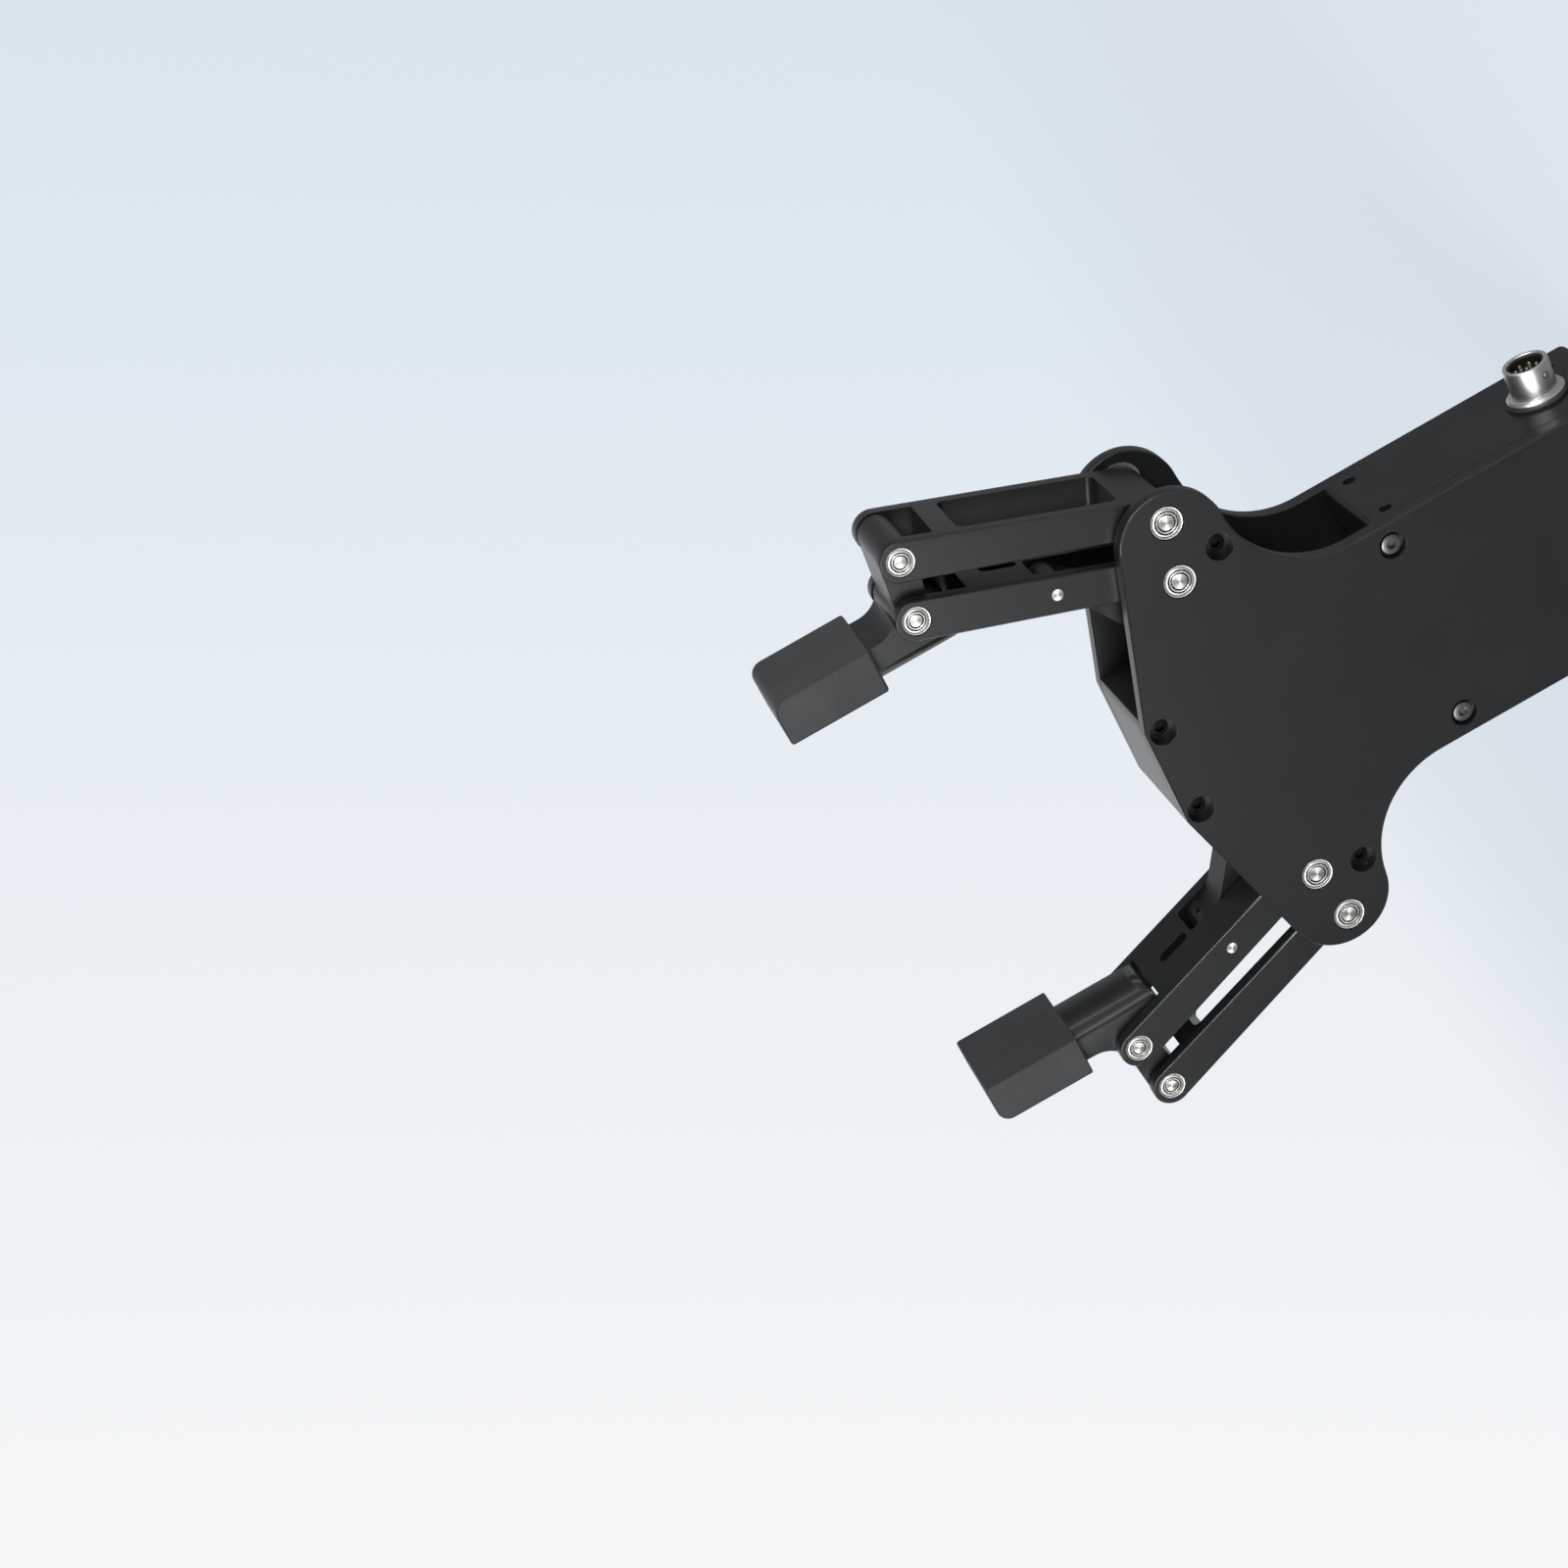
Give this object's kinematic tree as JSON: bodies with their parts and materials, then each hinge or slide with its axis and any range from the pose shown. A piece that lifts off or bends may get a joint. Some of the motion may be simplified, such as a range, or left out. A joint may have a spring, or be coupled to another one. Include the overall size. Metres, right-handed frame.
{
  "type": "electric two finger gripper",
  "caption": "Slim parallel gripper with flat cover plates around a screw drive, parallelogram arms, fingers with soft tip covers and a round connector in one side wall.",
  "frame": {"origin": "centre of the base's flat face", "axes": "+Z from the base to the fingertips, +X to the side with the connector, -Y is the front cover plate's side"},
  "size_m": [0.1108, 0.0234, 0.1378],
  "materials": {
    "black_aluminium": "satin bead-blasted black anodising",
    "tip_rubber": "matte",
    "bearing_steel": "ground",
    "shaft_steel": "ground",
    "screw_steel": "black oxide",
    "connector_nickel": "satin nickel",
    "contact_gold": "gold plated",
    "insert_plastic": "matte",
    "seal_rubber": "matte",
    "bronze": "turned",
    "board": "solder mask",
    "board_parts": "matte",
    "motor_steel": "satin"
  },
  "bodies": {
    "housing": {"front_plate": "black_aluminium", "back_plate": "black_aluminium", "middle_housing": "black_aluminium", "top_block": "black_aluminium", "motor_mount": "black_aluminium", "right_ear_spacer": "black_aluminium", "left_ear_spacer": "black_aluminium", "front_plate_screws": "screw_steel", "back_plate_screws": "screw_steel", "front_body_bearings": "bearing_steel", "back_body_bearings": "bearing_steel", "screw_bearing": "bearing_steel", "screw_bushing": "bronze", "guide_rods": "shaft_steel", "gearhead": "motor_steel", "motor": "motor_steel", "control_board": "board", "board_components": "board_parts", "connector_shell": "connector_nickel", "connector_nut": "connector_nickel", "connector_insert": "insert_plastic", "connector_contacts": "contact_gold", "connector_seal": "seal_rubber"},
    "lead_screw": {"lead_screw": "shaft_steel"},
    "crosshead": {"crosshead": "motor_steel", "crosshead_pins": "shaft_steel", "drive_nut": "bronze"},
    "right_outer_link": {"right_outer_link": "black_aluminium", "right_outer_link_bearings": "bearing_steel", "right_outer_shaft": "shaft_steel"},
    "right_inner_link": {"right_inner_link": "black_aluminium", "right_inner_link_bearings": "bearing_steel", "right_inner_shaft": "shaft_steel", "right_drive_pin": "shaft_steel"},
    "right_finger": {"right_finger": "black_aluminium", "right_finger_pad": "tip_rubber", "right_outer_finger_pin": "shaft_steel", "right_inner_finger_pin": "shaft_steel"},
    "right_drive_rod": {"right_drive_rod": "motor_steel"},
    "left_outer_link": {"left_outer_link": "black_aluminium", "left_outer_link_bearings": "bearing_steel", "left_outer_shaft": "shaft_steel"},
    "left_inner_link": {"left_inner_link": "black_aluminium", "left_inner_link_bearings": "bearing_steel", "left_inner_shaft": "shaft_steel", "left_drive_pin": "shaft_steel"},
    "left_finger": {"left_finger": "black_aluminium", "left_finger_pad": "tip_rubber", "left_outer_finger_pin": "shaft_steel", "left_inner_finger_pin": "shaft_steel"},
    "left_drive_rod": {"left_drive_rod": "motor_steel"}
  },
  "joints": [
    {"name": "right_outer_link_pivot", "type": "hinge", "parent": "housing", "child": "right_outer_link", "pos_m": [0.038, 0, 0.0735], "axis": [0, 1, 0], "range_deg": [-51.88, 0]},
    {"name": "right_inner_link_pivot", "type": "hinge", "parent": "housing", "child": "right_inner_link", "pos_m": [0.0285, 0, 0.0754], "axis": [0, 1, 0], "range_deg": [-51.88, 0]},
    {"name": "right_finger_pivot", "type": "hinge", "parent": "right_outer_link", "child": "right_finger", "pos_m": [0.0522, 0, 0.11089], "axis": [0, 1, 0], "range_deg": [0, 51.88]},
    {"name": "right_rod_pivot", "type": "hinge", "parent": "right_inner_link", "child": "right_drive_rod", "pos_m": [0.03489, 0, 0.09223], "axis": [0, 1, 0], "range_deg": [0, 17.7]},
    {"name": "left_outer_link_pivot", "type": "hinge", "parent": "housing", "child": "left_outer_link", "pos_m": [-0.038, 0, 0.0735], "axis": [0, -1, 0], "range_deg": [-51.88, 0]},
    {"name": "left_inner_link_pivot", "type": "hinge", "parent": "housing", "child": "left_inner_link", "pos_m": [-0.0285, 0, 0.0754], "axis": [0, -1, 0], "range_deg": [-51.88, 0]},
    {"name": "left_finger_pivot", "type": "hinge", "parent": "left_outer_link", "child": "left_finger", "pos_m": [-0.0522, 0, 0.11089], "axis": [0, -1, 0], "range_deg": [0, 51.88]},
    {"name": "left_rod_pivot", "type": "hinge", "parent": "left_inner_link", "child": "left_drive_rod", "pos_m": [-0.03489, 0, 0.09223], "axis": [0, -1, 0], "range_deg": [0, 17.7]},
    {"name": "crosshead_slide", "type": "slide", "parent": "housing", "child": "crosshead", "axis": [0, 0, 1], "range_m": [-0.01343, 0]},
    {"name": "lead_screw_turn", "type": "hinge", "parent": "housing", "child": "lead_screw", "pos_m": [0, 0, 0.06], "axis": [0, 0, 1], "range_deg": [0, 1208.38]}
  ],
  "couplings": [
    {"joint": "right_outer_link_pivot", "follows": "crosshead_slide", "rad_per_m": 67.44},
    {"joint": "right_inner_link_pivot", "follows": "crosshead_slide", "rad_per_m": 67.44},
    {"joint": "right_finger_pivot", "follows": "crosshead_slide", "rad_per_m": -67.44},
    {"joint": "right_rod_pivot", "follows": "crosshead_slide", "rad_per_m": -22.97},
    {"joint": "left_outer_link_pivot", "follows": "crosshead_slide", "rad_per_m": 67.44},
    {"joint": "left_inner_link_pivot", "follows": "crosshead_slide", "rad_per_m": 67.44},
    {"joint": "left_finger_pivot", "follows": "crosshead_slide", "rad_per_m": -67.44},
    {"joint": "left_rod_pivot", "follows": "crosshead_slide", "rad_per_m": -22.97},
    {"joint": "lead_screw_turn", "follows": "crosshead_slide", "rad_per_m": -1570.8}
  ]
}
